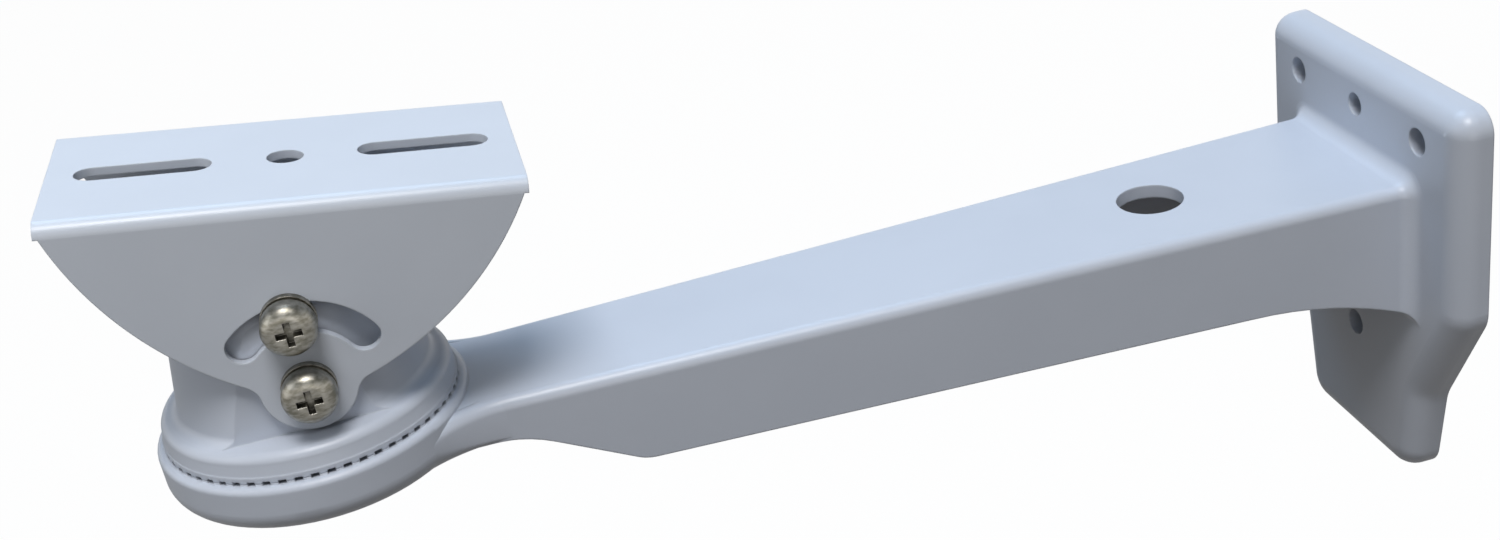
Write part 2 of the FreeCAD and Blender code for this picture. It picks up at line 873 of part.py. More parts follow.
def make_ring(label, width, bore, thickness, split):
    """A washer; a spring washer has a slit across one side."""
    body = new_body(label)
    sketch = new_sketch(body, "XY_Plane", label + "_ring")
    draw_circle(sketch, 0, 0, width)
    draw_circle(sketch, 0, 0, bore)
    pad(body, sketch, thickness)
    if split:
        slit = new_sketch(body, "XY_Plane", label + "_slit", lift=thickness)
        half = s.screw_clearance
        draw_box(slit, 0, width, -half, half)
        pocket(body, slit, 2 * thickness)
    return body


def face_outward(body, side, z, stack):
    """Stands a screw or washer on a cheek, its axis pointing away from the saddle."""
    angle = side * RIGHT_ANGLE
    distance = s.saddle_width / 2 + stack
    place(body, x=pivot_place, y=side * distance, z=z, axis=Vector(-1, 0, 0), angle=angle)
    return body


def make_tilt_screws():
    """Pivot and lock screws with their washers, on the near and far cheeks."""
    pieces = []
    bore = s.screw_width + 2 * s.screw_clearance
    for name, rise in (("pivot", 0), ("lock", s.lock_radius)):
        for side, where in ((1, "near"), (-1, "far")):
            z = pivot_height + rise
            flat_name = f"{name}_flat_washer_{where}"
            spring_name = f"{name}_spring_washer_{where}"
            flat = make_ring(flat_name, s.washer_width, bore, s.washer_thickness, False)
            spring = make_ring(spring_name, s.spring_width, bore, s.spring_thickness, True)
            screw = make_screw(f"{name}_screw_{where}")
            face_outward(flat, side, z, 0)
            face_outward(spring, side, z, s.washer_thickness)
            face_outward(screw, side, z, s.washer_thickness + s.spring_thickness)
            pieces += [flat, spring, screw]
    return pieces


def make_bolt():
    """The swivel's hexagon bolt, head down."""
    body = new_body("swivel_bolt")
    shank = new_sketch(body, "XY_Plane", "bolt_shank")
    draw_circle(shank, 0, 0, s.bolt_width)
    roof_to_joint = s.head_roof + s.tooth_height + s.joint_gap
    stack = s.bolt_washer_thickness + s.bolt_spring_thickness
    pad(body, shank, stack + roof_to_joint + s.bolt_reach - s.bolt_spare)
    head = new_sketch(body, "XY_Plane", "bolt_head_outline")
    sides = 6
    step = FULL_TURN / sides
    reach = s.bolt_head / 2 / cosine(step / 2)
    corners = [(reach * cosine(step * turn), reach * sine(step * turn)) for turn in range(sides)]
    draw_loop(head, corners)
    pad(body, head, s.bolt_head_height, backwards=True)
    return body


def make_swivel_bolt_set():
    """The swivel bolt with its washers, in the recess under the arm's head."""
    seat = joint_height - s.joint_gap / 2 - s.tooth_height - s.head_roof
    bore = s.bolt_width + 2 * s.bolt_clearance
    flat = make_ring("swivel_flat_washer", s.bolt_washer_width, bore, s.bolt_washer_thickness, False)
    place(flat, x=s.arm_length, z=seat - s.bolt_washer_thickness)
    spring = make_ring("swivel_spring_washer", s.bolt_spring_width, bore, s.bolt_spring_thickness, True)
    under = seat - s.bolt_washer_thickness - s.bolt_spring_thickness
    place(spring, x=s.arm_length, z=under)
    bolt = make_bolt()
    place(bolt, x=s.arm_length, z=under)
    return [flat, spring, bolt]


def check_document():
    """Stops if any object of the document failed."""
    for obj in doc.Objects:
        if "Invalid" in obj.State or "Error" in obj.State:
            raise RuntimeError(f"{obj.Label} failed: {obj.State}")


def write_parts(pieces):
    """Writes each finished piece to its own file."""
    os.makedirs("parts", exist_ok=True)
    for piece in pieces:
        shape = piece.Shape
        if shape.isNull() or not shape.isValid() or len(shape.Solids) != 1:
            raise RuntimeError(f"{piece.Label} is not one sound solid")
        shape.exportStep(f"parts/{piece.Label}.step")
        box = shape.BoundBox
        print(f"{piece.Label}: {shape.Volume:.0f} mm3, z {box.ZMin:.1f} to {box.ZMax:.1f}")


def main():
    """Builds every piece and writes its file."""
    fill_sheet()
    pieces = [make_arm_casting(), make_swivel_base(), make_saddle()]
    pieces += make_tilt_screws()
    pieces += make_swivel_bolt_set()
    doc.recompute()
    check_document()
    write_parts(pieces)


main()
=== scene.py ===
# Camera wall bracket: finishes, cast webs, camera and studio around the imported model.
# Everything is in metres, in the bracket's own frame: +X out from the wall along the arm, +Y to
# the near side and +Z up. The studio's level of light shows a colour about as it is written.

import logging
import math
from dataclasses import dataclass
from enum import Enum

import bpy
from mathutils import Matrix, Vector


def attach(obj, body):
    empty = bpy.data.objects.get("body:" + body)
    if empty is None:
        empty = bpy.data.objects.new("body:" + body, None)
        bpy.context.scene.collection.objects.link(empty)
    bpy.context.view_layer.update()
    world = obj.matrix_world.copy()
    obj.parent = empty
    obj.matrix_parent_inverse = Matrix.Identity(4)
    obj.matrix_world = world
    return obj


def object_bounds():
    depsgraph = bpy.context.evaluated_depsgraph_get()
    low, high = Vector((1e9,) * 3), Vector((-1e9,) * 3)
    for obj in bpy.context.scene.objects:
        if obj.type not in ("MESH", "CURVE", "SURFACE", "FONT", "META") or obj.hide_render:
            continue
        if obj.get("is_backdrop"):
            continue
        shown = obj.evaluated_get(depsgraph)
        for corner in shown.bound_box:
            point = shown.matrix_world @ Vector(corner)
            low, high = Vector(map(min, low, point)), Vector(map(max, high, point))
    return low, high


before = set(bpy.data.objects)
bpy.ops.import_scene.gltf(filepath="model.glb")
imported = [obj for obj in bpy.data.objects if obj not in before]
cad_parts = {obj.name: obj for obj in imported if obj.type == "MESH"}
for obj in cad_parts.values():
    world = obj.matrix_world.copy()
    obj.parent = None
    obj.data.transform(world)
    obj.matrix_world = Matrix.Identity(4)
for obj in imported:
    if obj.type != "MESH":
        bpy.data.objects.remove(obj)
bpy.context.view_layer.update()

log = logging.getLogger("bracket")
Triple = tuple[float, float, float]
Colour = tuple[float, float, float, float]
Socket = bpy.types.NodeSocket

HEAD_PLACE = 0.275  # distance of the swivel's axis from the wall
HEAD: Triple = (HEAD_PLACE, 0.0, 0.0)
ARM_MIDDLE: Triple = (0.2, 0.0, 0.0)

WHITE: Colour = (1.0, 1.0, 1.0, 1.0)
# colour of the painted highlight along painted edges
PAINTED_EDGE_HIGHLIGHT: Colour = (0.74, 0.79, 0.86, 1.0)
NOISE_MIDDLE = 0.5
EDGE_RAYS = 4  # rays that measure a soft edge, or how closed a corner is


class Side(Enum):
    """The bracket's two sides, by the sign of Y."""

    NEAR = 1
    FAR = -1

    @property
    def word(self) -> str:
        """The side as it stands in the names of pieces."""
        return self.name.lower()


class Lay(Enum):
    """How a finish's pattern lies, by how far it is squeezed along Z into streaks."""

    EVEN = 0.0
    BRUSHED = 0.25


class Graph:
    """A node tree with short calls for adding nodes and joining them."""

    def __init__(self, tree: bpy.types.NodeTree) -> None:
        """Takes a node tree and empties it.

        Args:
            tree: the tree of a material, a world or a shader node group.
        """
        self.tree = tree
        self.tree.nodes.clear()

    def add(self, kind: str, **values: object) -> bpy.types.Node:
        """Adds a node and sets its own properties.

        Args:
            kind: the node's type, without the word ShaderNode.
            values: properties of the node, by name.

        Returns:
            The new node.
        """
        node = self.tree.nodes.new("ShaderNode" + kind)
        for name, value in values.items():
            setattr(node, name, value)
        return node

    def put(self, value: object, target: Socket) -> None:
        """Joins a socket to an input, or sets the input's own value.

        Args:
            value: an output socket or a plain value.
            target: the input.
        """
        if isinstance(value, Socket):
            self.tree.links.new(value, target)
        else:
            target.default_value = value

    def place(self, group: bpy.types.NodeTree, values: dict[str, object]) -> bpy.types.NodeOutputs:
        """Places an effect's group in a material.

        Args:
            group: the effect's group.
            values: its inputs, sockets or plain values, by name.

        Returns:
            The group node's outputs.
        """
        node = self.add("Group", node_tree=group)
        for name, value in values.items():
            self.put(value, node.inputs[name])
        return node.outputs

    def math(self, operation: str, *values: object) -> Socket:
        """Adds a math node.

        Args:
            operation: the node's operation.
            values: its inputs, sockets or numbers.

        Returns:
            The result's socket.
        """
        node = self.add("Math", operation=operation)
        for value, target in zip(values, node.inputs):
            self.put(value, target)
        return node.outputs[0]

    def mix(self, kind: str, share: object, low: object, high: object) -> Socket:
        """Mixes two values.

        Args:
            kind: FLOAT, VECTOR or RGBA.
            share: how much of the second value shows, 0 to 1.
            low: the first value.
            high: the second value.

        Returns:
            The result's socket.
        """
        node = self.add("Mix", data_type=kind)
        sort = "VALUE" if kind == "FLOAT" else kind
        ends = [item for item in node.inputs if item.type == sort and item.name in ("A", "B")]
        self.put(share, node.inputs["Factor"])
        self.put(low, ends[0])
        self.put(high, ends[1])
        return next(item for item in node.outputs if item.type == sort)

    def noise(self, where: Socket, scale: object, detail: float) -> Socket:
        """Adds a noise texture.

        Args:
            where: the texture's coordinates.
            scale: cells per metre.
            detail: octaves of finer noise.

        Returns:
            The noise's value, about 0.5 in the middle.
        """
        node = self.add("TexNoise")
        node.inputs["Detail"].default_value = detail
        self.put(where, node.inputs["Vector"])
        self.put(scale, node.inputs["Scale"])
        return node.outputs["Fac"]

    def ramp(
        self, value: Socket, low: object, high: float, start: float = 0.0, end: float = 1.0
    ) -> Socket:
        """Maps a range of a value smoothly to another range.

        Args:
            value: the value.
            low: where the ramp starts.
            high: where it ends.
            start: the result at its start.
            end: the result at its end.

        Returns:
            The result's socket.
        """
        node = self.add("MapRange", interpolation_type="SMOOTHSTEP")
        self.put(value, node.inputs["Value"])
        limits = {"From Min": low, "From Max": high, "To Min": start, "To Max": end}
        for name, number in limits.items():
            self.put(number, node.inputs[name])
        return node.outputs["Result"]


class Effect:
    """A shader node group with named inputs and outputs, built once and shared by the finishes."""

    def __init__(self, name: str, inputs: dict[str, str], outputs: dict[str, str]) -> None:
        """Makes the group and its sockets.

        Args:
            name: the group's name.
            inputs: each input's kind, Float, Vector or Color, by name.
            outputs: each output's kind, by name.
        """
        self.group = bpy.data.node_groups.new(name, "ShaderNodeTree")
        self.graph = Graph(self.group)
        for way, sockets in (("INPUT", inputs), ("OUTPUT", outputs)):
            for title, kind in sockets.items():
                sort = "NodeSocket" + kind
                self.group.interface.new_socket(name=title, in_out=way, socket_type=sort)
        self.given = self.group.nodes.new("NodeGroupInput").outputs
        self.result = self.group.nodes.new("NodeGroupOutput").inputs


@dataclass(frozen=True)
class Patches:
    """Uneven patches over a surface.

    Attributes:
        scale: cells per metre.
        low: the noise's value where a patch is weakest.
        high: its value where a patch is strongest.
        least: what is left of the effect where a patch is weakest.
        detail: octaves of finer noise.
    """

    scale: float
    low: float
    high: float
    least: float
    detail: float = 3.0

    def build(self, graph: Graph) -> Socket:
        """Adds the patches' nodes.

        Args:
            graph: the tree of the effect that they belong to.

        Returns:
            Their strength, up to 1.
        """
        place = graph.add("TexCoord").outputs["Object"]
        noise = graph.noise(place, self.scale, self.detail)
        return graph.ramp(noise, self.low, self.high, self.least, 1.0)


@dataclass(frozen=True)
class Skin:
    """Mottled colour, varying gloss and the relief of a sprayed or plated metal.

    Attributes:
        squeeze: how much finer the pattern is along Z in full streaks.
        darkest: the mottling's value at which the dark colour shows alone.
        lightest: its value at which the light colour shows alone.
        mottle_detail: octaves of the mottling.
        grain_detail: octaves of the grain.
        wave_detail: octaves of the waves.
        wave_height: height of the waves, against the grain's.
    """

    squeeze: float = 6.0
    darkest: float = 0.3
    lightest: float = 0.7
    mottle_detail: float = 4.0
    grain_detail: float = 3.0
    wave_detail: float = 1.0
    wave_height: float = 2.0

    def build(self) -> bpy.types.NodeTree:
        """Builds the group.

        Returns:
            A group that gives Colour, Roughness and Height.
        """
        inputs = dict.fromkeys(("Light", "Dark"), "Color")
        inputs |= dict.fromkeys(("Mottle", "Grain", "Wave", "Streak", "Gloss", "Spread"), "Float")
        outputs = {"Colour": "Color", "Roughness": "Float", "Height": "Float"}
        skin = Effect("coat_skin", inputs, outputs)
        graph, given, result = skin.graph, skin.given, skin.result

        place = graph.add("TexCoord").outputs["Object"]
        stretch = graph.add("Mapping")
        stretch.inputs["Scale"].default_value = (1.0, 1.0, self.squeeze)
        graph.put(place, stretch.inputs["Vector"])
        where = graph.mix("VECTOR", given["Streak"], place, stretch.outputs["Vector"])

        mottle = graph.noise(where, given["Mottle"], self.mottle_detail)
        share = graph.ramp(mottle, self.darkest, self.lightest)
        graph.put(graph.mix("RGBA", share, given["Dark"], given["Light"]), result["Colour"])
        off_middle = graph.math("SUBTRACT", mottle, NOISE_MIDDLE)
        drift = graph.math("MULTIPLY", off_middle, given["Spread"])
        graph.put(graph.math("ADD", drift, given["Gloss"]), result["Roughness"])

        grain = graph.noise(where, given["Grain"], self.grain_detail)
        wave = graph.noise(where, given["Wave"], self.wave_detail)
        tall_wave = graph.math("MULTIPLY", wave, self.wave_height)
        graph.put(graph.math("ADD", grain, tall_wave), result["Height"])
        return skin.group


@dataclass(frozen=True)
class Grime:
    """Painted shade, with some dust, in corners, hollows and recesses: a darker colour where other
    surfaces are near.

    Attributes:
        closed: how open a place still is where the shade is full.
        patches: how unevenly it gathers.
    """

    closed: float = 0.12
    patches: Patches = Patches(scale=60.0, low=0.2, high=0.8, least=0.85)

    def build(self) -> bpy.types.NodeTree:
        """Builds the group.

        Returns:
            A group that gives Colour.
        """
        inputs = dict.fromkeys(("Colour", "Grime"), "Color")
        inputs |= dict.fromkeys(("Reach", "Onset", "Strength"), "Float")
        grime = Effect("corner_grime", inputs, {"Colour": "Color"})
        graph, given = grime.graph, grime.given

        # painted shade: the colour darkens where nearby surfaces close a place in, with some dust
        openness = graph.add("AmbientOcclusion", samples=EDGE_RAYS)
        graph.put(given["Reach"], openness.inputs["Distance"])
        hidden = graph.ramp(openness.outputs["AO"], given["Onset"], self.closed)
        strength = graph.math("MULTIPLY", hidden, given["Strength"])
        share = graph.math("MULTIPLY", strength, self.patches.build(graph))
        graph.put(
            graph.mix("RGBA", share, given["Colour"], given["Grime"]), grime.result["Colour"]
        )
        return grime.group


@dataclass(frozen=True)
class PaintedEdgeHighlight:
    """Painted highlight: a lighter colour along edges, found where the softened normal leaves the
    true one.

    Attributes:
        flat: cosine between the two normals where the painted highlight starts.
        sharp: cosine between them where it is full.
        patches: how unevenly it lies.
    """

    flat: float = 0.995
    sharp: float = 0.9
    patches: Patches = Patches(scale=240.0, low=0.35, high=0.65, least=0.35)

    def build(self) -> bpy.types.NodeTree:
        """Builds the group.

        Returns:
            A group that gives Colour.
        """
        inputs = {"Colour": "Color", "Bare": "Color", "Soft": "Vector", "Amount": "Float"}
        edges = Effect("edge_wear", inputs, {"Colour": "Color"})
        graph, given = edges.graph, edges.given

        # painted highlight: the colour lightens along edges
        along = graph.add("VectorMath", operation="DOT_PRODUCT")
        graph.put(given["Soft"], along.inputs[0])
        graph.put(graph.add("NewGeometry").outputs["Normal"], along.inputs[1])
        turned = graph.ramp(along.outputs["Value"], self.flat, self.sharp)
        strength = graph.math("MULTIPLY", turned, self.patches.build(graph))
        share = graph.math("MULTIPLY", strength, given["Amount"])
        graph.put(graph.mix("RGBA", share, given["Colour"], given["Bare"]), edges.result["Colour"])
        return edges.group


@dataclass(frozen=True)
class Effects:
    """The shared effects that every finish places with its own values.

    Attributes:
        skin: colour, gloss and relief of the coat.
        grime: painted shade and dust in corners.
        edges: painted highlight along edges.
    """

    skin: bpy.types.NodeTree
    grime: bpy.types.NodeTree
    edges: bpy.types.NodeTree

    @classmethod
    def build(cls) -> "Effects":
        """Builds the three groups.

        Returns:
            The shared effects.
        """
        return cls(skin=Skin().build(), grime=Grime().build(), edges=PaintedEdgeHighlight().build())


@dataclass(frozen=True)
class Coat:
    """A sprayed or plated finish, with soft edges, a fine skin, a painted highlight along its
    edges and painted shade with some dust in its corners.

    Attributes:
        name: the material's name.
        light: the colour where the mottling is lightest.
        dark: the colour where it is darkest.
        grime: the colour of painted shade, with some dust, in corners and hollows.
        bare: the lighter colour of the painted highlight along edges.
        metallic: 0 for paint, 1 for bare or plated metal.
        gloss: the mean roughness.
        spread: how far the roughness varies.
        mottle: cells of mottling per metre.
        grain: grains of the skin per metre.
        wave: waves of the skin per metre.
        relief: height of the skin's relief, in metres.
        bump: how much of that relief the light shows.
        edge: radius that light sees on sharp edges, in metres.
        reach: how near other surfaces must be for painted shade to gather, in metres.
        onset: how open a place still gathers it, 1 for an open face.
        shade: how strongly it gathers.
        wear: how strongly the painted highlight along edges shows.
        lay: how the pattern lies.
    """

    name: str
    light: Colour
    dark: Colour
    grime: Colour
    bare: Colour
    metallic: float = 0.0
    gloss: float = 0.33
    spread: float = 0.07
    mottle: float = 42.0
    grain: float = 1500.0
    wave: float = 260.0
    relief: float = 0.00002
    bump: float = 0.5
    edge: float = 0.0006
    reach: float = 0.022
    onset: float = 0.36
    shade: float = 0.6
    wear: float = 0.35
    lay: Lay = Lay.EVEN

    def build(self, effects: Effects) -> bpy.types.Material:
        """Makes the material.

        Args:
            effects: the shared effect groups.

        Returns:
            The material.
        """
        material = bpy.data.materials.new(self.name)
        material.use_nodes = True
        graph = Graph(material.node_tree)

        skin_values = {
            "Light": self.light,
            "Dark": self.dark,
            "Mottle": self.mottle,
            "Grain": self.grain,
            "Wave": self.wave,
            "Streak": self.lay.value,
            "Gloss": self.gloss,
            "Spread": self.spread,
        }
        skin = graph.place(effects.skin, skin_values)

        soft = graph.add("Bevel", samples=EDGE_RAYS)
        soft.inputs["Radius"].default_value = self.edge
        # painted highlight: a lighter colour along edges
        edge_values = {
            "Colour": skin["Colour"],
            "Bare": self.bare,
            "Soft": soft.outputs["Normal"],
            "Amount": self.wear,
        }
        edges = graph.place(effects.edges, edge_values)

        # painted shade, with some dust: a darker colour where other surfaces are near
        painted_shade_and_grime_values = {
            "Colour": edges["Colour"],
            "Grime": self.grime,
            "Reach": self.reach,
            "Onset": self.onset,
            "Strength": self.shade,
        }
        grime = graph.place(effects.grime, painted_shade_and_grime_values)

        bump = graph.add("Bump")
        bump.inputs["Strength"].default_value = self.bump
        bump.inputs["Distance"].default_value = self.relief
        graph.put(skin["Height"], bump.inputs["Height"])
        graph.put(soft.outputs["Normal"], bump.inputs["Normal"])

        surface = graph.add("BsdfPrincipled")
        surface.inputs["Metallic"].default_value = self.metallic
        graph.put(grime["Colour"], surface.inputs["Base Color"])
        graph.put(skin["Roughness"], surface.inputs["Roughness"])
        graph.put(bump.outputs["Normal"], surface.inputs["Normal"])
        graph.put(surface.outputs["BSDF"], graph.add("OutputMaterial").inputs["Surface"])
        return material


# casting paint: its corner colour paints shade with some dust in corners and hollows, its edge
# colour paints highlights along edges
SILVER_PAINT = Coat(
    name="silver_grey_paint",
    light=(0.61, 0.66, 0.75, 1.0),
    dark=(0.595, 0.645, 0.735, 1.0),
    grime=(0.16, 0.145, 0.13, 1.0),
    bare=PAINTED_EDGE_HIGHLIGHT,
)
# sheet paint: its corner colour paints shade with some dust in corners and hollows, its edge
# colour paints highlights along edges
SHEET_PAINT = Coat(
    name="sheet_paint",
    light=(0.645, 0.695, 0.775, 1.0),
    dark=(0.63, 0.68, 0.76, 1.0),
    grime=(0.17, 0.155, 0.14, 1.0),
    bare=PAINTED_EDGE_HIGHLIGHT,
    gloss=0.32,
    wave=180.0,
    edge=0.0004,
    reach=0.03,
    onset=0.5,
)
# screw metal: its corner colour paints shade into the cross recesses, its edge colour paints
# highlights along edges
ZINC = Coat(
    name="zinc_plate",
    light=(0.42, 0.405, 0.36, 1.0),
    dark=(0.22, 0.21, 0.17, 1.0),
    grime=(0.03, 0.028, 0.024, 1.0),
    bare=(0.70, 0.68, 0.62, 1.0),
    metallic=1.0,
    gloss=0.37,
    spread=0.12,
    mottle=520.0,
    grain=3000.0,
    wave=700.0,
    relief=0.00003,
    edge=0.0003,
    reach=0.0022,
    onset=0.9,
    shade=0.95,
    wear=0.5,
    lay=Lay.BRUSHED,
)


@dataclass(frozen=True)
class Finishes:
    """The materials that the sub-assemblies wear, each built once.

    Attributes:
        paint: on the castings.
        sheet: on the folded saddle.
        zinc: on screws, washers and bolt.
    """

    paint: bpy.types.Material
    sheet: bpy.types.Material
    zinc: bpy.types.Material

    @classmethod
    def build(cls) -> "Finishes":
        """Builds the effects and the materials that place them.

        Returns:
            The finishes.
        """
        effects = Effects.build()
        return cls(
            paint=SILVER_PAINT.build(effects),
            sheet=SHEET_PAINT.build(effects),
            zinc=ZINC.build(effects),
        )


def dress(name: str, material: bpy.types.Material) -> None:
    """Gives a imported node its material.

    Args:
        name: the node's name.
        material: what it wears.
    """
    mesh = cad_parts[name].data
    mesh.materials.clear()
    mesh.materials.append(material)


def add_object(name: str, data: bpy.types.ID) -> bpy.types.Object:
    """Adds an object to the scene.

    Args:
        name: its name.
        data: its mesh, lamp or camera.

    Returns:
        The object.
    """
    made = bpy.data.objects.new(name, data)
    bpy.context.scene.collection.objects.link(made)
    return made


@dataclass
class ArmCasting:
    """The one-piece casting of wall plate, arm and head, and the webs that blend arm into head.

    Attributes:
        head_place: distance of the head's axis from the wall.
        head_radius: radius of the round head.
        flank: half the arm's width at the head.
        top: height of the arm's top.
        depth: depth of the head below it.
        web_radius: radius of each web's hollow side in plan.
        top_round: rounding of the web's top edge.
        foot_round: rounding of its lower edge at the head.
        foot_round_arm: rounding of its lower edge at the arm.
        foot_growth: how late the lower rounding grows on its way to the head, 1 for evenly.
        sink: how far the web's faces lie under those of the casting that they run into.
        lap: how far each end runs on along the casting.
        root: how far the web reaches into the casting.
        bend: where the arm's underside starts to fall, from the head's axis.
        bend_radius: radius of that fall.
        steps: sections round the web.
        lap_steps: sections along each lap.
        arc_steps: parts of each rounding.
    """

    head_place: float = HEAD_PLACE
    head_radius: float = 0.0363
    flank: float = 0.0185
    top: float = -0.012
    depth: float = 0.0103
    web_radius: float = 0.027
    top_round: float = 0.0028
    foot_round: float = 0.0055
    foot_round_arm: float = 0.0008
    foot_growth: float = 1.6
    sink: float = 0.00003
    lap: float = 0.004
    root: float = 0.0034
    bend: float = 0.0382
    bend_radius: float = 0.030
    steps: int = 48
    lap_steps: int = 4
    arc_steps: int = 8

    def plan_line(self) -> list[tuple[Vector, Vector]]:
        """The near web's outer line in plan, from the arm's flank round to the head.

        Returns:
            Each point with its outward direction.
        """
        middle_y = self.flank + self.web_radius
        reach = self.head_radius + self.web_radius
        middle = Vector((self.head_place - math.sqrt(reach**2 - middle_y**2), middle_y))
        axis = Vector((self.head_place, 0.0))
        to_head = axis - middle
        first = -math.pi / 2
        last = math.atan2(to_head.y, to_head.x)
        touch = math.atan2(-to_head.y, -to_head.x)

        line = []
        for step in range(-self.lap_steps, 0):
            along = middle.x + self.lap * step / self.lap_steps
            line.append((Vector((along, self.flank)), Vector((0.0, 1.0))))
        for step in range(self.steps + 1):
            angle = first + (last - first) * step / self.steps
            inward = Vector((math.cos(angle), math.sin(angle)))
            line.append((middle + self.web_radius * inward, -inward))
        for step in range(1, self.lap_steps + 1):
            angle = touch - self.lap / self.head_radius * step / self.lap_steps
            out = Vector((math.cos(angle), math.sin(angle)))
            line.append((axis + self.head_radius * out, out))
        return line

    def rounding(self, radius: float, height: float, start: float) -> list[tuple[float, float]]:
        """A quarter round of the web's section, turning down and inwards.

        Args:
            radius: its radius.
            height: its centre's height.
            start: the angle that it starts at, 0 for straight out and a quarter turn for up.

        Returns:
            Its points, each with its place outwards from the face and its height.
        """
        arc = []
        for step in range(self.arc_steps + 1):
            angle = start - math.pi / 2 * step / self.arc_steps
            arc.append((radius * (math.cos(angle) - 1), height + radius * math.sin(angle)))
        return arc

    def section(self, point: Vector, out: Vector, share: float) -> list[Vector]:
        """The web's section at one point of its outer line.

        Args:
            point: the point in plan.
            out: the outward direction there.
            share: how far round the web it is, 0 at the arm and 1 at the head.

        Returns:
            The section's corners, from its inner top edge round to its inner lower edge.
        """
        high = self.top - self.sink
        fall = max(0.0, self.head_place - self.bend - point.x)
        low = self.top - self.depth + self.sink - fall**2 / (2 * self.bend_radius)
        growth = min(1.0, max(0.0, share)) ** self.foot_growth
        foot = self.foot_round_arm + (self.foot_round - self.foot_round_arm) * growth
        face = point - out * self.sink

        corners = [(-self.root, high)]
        corners += self.rounding(self.top_round, high - self.top_round, math.pi / 2)
        corners += self.rounding(foot, low + foot, 0.0)
        corners.append((-max(self.root, foot + self.sink), low))
        return [Vector((*(face + out * outwards), height)) for outwards, height in corners]

    def build_web(self, side: Side) -> bpy.types.Object:
        """Makes the web on one side of the arm.

        Args:
            side: the side.

        Returns:
            The web.
        """
        rings = []
        for index, (point, out) in enumerate(self.plan_line()):
            share = (index - self.lap_steps) / self.steps
            corners = self.section(point, out, share)
            rings.append([(corner.x, side.value * corner.y, corner.z) for corner in corners])
        points = [corner for ring in rings for corner in ring]

        count = len(rings[0])
        faces = []
        for ring in range(len(rings) - 1):
            for corner in range(count):
                here = ring * count + corner
                beside = ring * count + (corner + 1) % count
                faces.append((here, beside, beside + count, here + count))
        swept = len(faces)
        faces.append(tuple(range(count))[::-1])
        faces.append(tuple(range(len(points) - count, len(points))))
        if side is Side.FAR:
            faces = [face[::-1] for face in faces]

        mesh = bpy.data.meshes.new(f"arm_web_{side.word}")
        mesh.from_pydata(points, [], faces)
        for index, face in enumerate(mesh.polygons):
            face.use_smooth = index < swept
        web = add_object(f"arm_web_{side.word}", mesh)
        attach(web, "arm")
        return web

    def build(self, finishes: Finishes) -> None:
        """Dresses the casting and adds its webs.

        Args:
            finishes: the built materials.
        """
        paint = finishes.paint
        dress("arm_casting", paint)
        for side in Side:
            self.build_web(side).data.materials.append(paint)
        log.info("arm casting: wall plate, arm, head and two webs in %s", paint.name)


@dataclass
class Swivel:
    """The casting of upper serrated disc and neck, and the bolt set that holds it down.

    Attributes:
        fasteners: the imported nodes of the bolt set.
    """

    fasteners: tuple[str, ...] = ("swivel_bolt", "swivel_spring_washer", "swivel_flat_washer")

    def build(self, finishes: Finishes) -> None:
        """Dresses the casting and its bolt set.

        Args:
            finishes: the built materials.
        """
        dress("swivel_base", finishes.paint)
        for name in self.fasteners:
            dress(name, finishes.zinc)
        log.info("swivel: casting in %s, %d fasteners", finishes.paint.name, len(self.fasteners))


@dataclass
class Saddle:
    """The folded saddle, and the screws that it tilts on and is locked by.

    Attributes:
        places: the screws' places on each cheek.
        stack: what lies under and in each hole.
    """

    places: tuple[str, ...] = ("pivot", "lock")
    stack: tuple[str, ...] = ("flat_washer", "spring_washer", "screw")

    def fasteners(self) -> list[str]:
        """Names the screws' and washers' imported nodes.

        Returns:
            Twelve names.
        """
        return [
            f"{place}_{item}_{side.word}"
            for place in self.places
            for item in self.stack
            for side in Side
        ]

    def build(self, finishes: Finishes) -> None:
        """Dresses the sheet, the screws and the washers.

        Args:
            finishes: the built materials.
        """
        dress("saddle", finishes.sheet)
        names = self.fasteners()
        for name in names:
            dress(name, finishes.zinc)
        log.info("saddle: sheet in %s, %d fasteners", finishes.sheet.name, len(names))


@dataclass(frozen=True)
class Lamp:
    """A soft square lamp.

    Attributes:
        name: the lamp's name.
        target: the point that it looks at.
        towards: direction from that point to the lamp.
        distance: how far away it stands.
        size: its side.
        level: how brightly it lights a surface that faces it, 1 for as bright as it is written.
        tint: the light's colour.
    """

    name: str
    target: Triple
    towards: Triple
    distance: float
    size: float
    level: float
    tint: Triple

    def build(self) -> None:
        """Makes the lamp."""
        data = bpy.data.lights.new(self.name, "AREA")
        data.size = self.size
        data.energy = self.level * (math.pi * self.distance) ** 2
        data.color = self.tint
        lamp = add_object(self.name, data)
        away = Vector(self.towards).normalized()
        lamp.location = Vector(self.target) + away * self.distance
        lamp.rotation_euler = (-away).to_track_quat("-Z", "Y").to_euler()


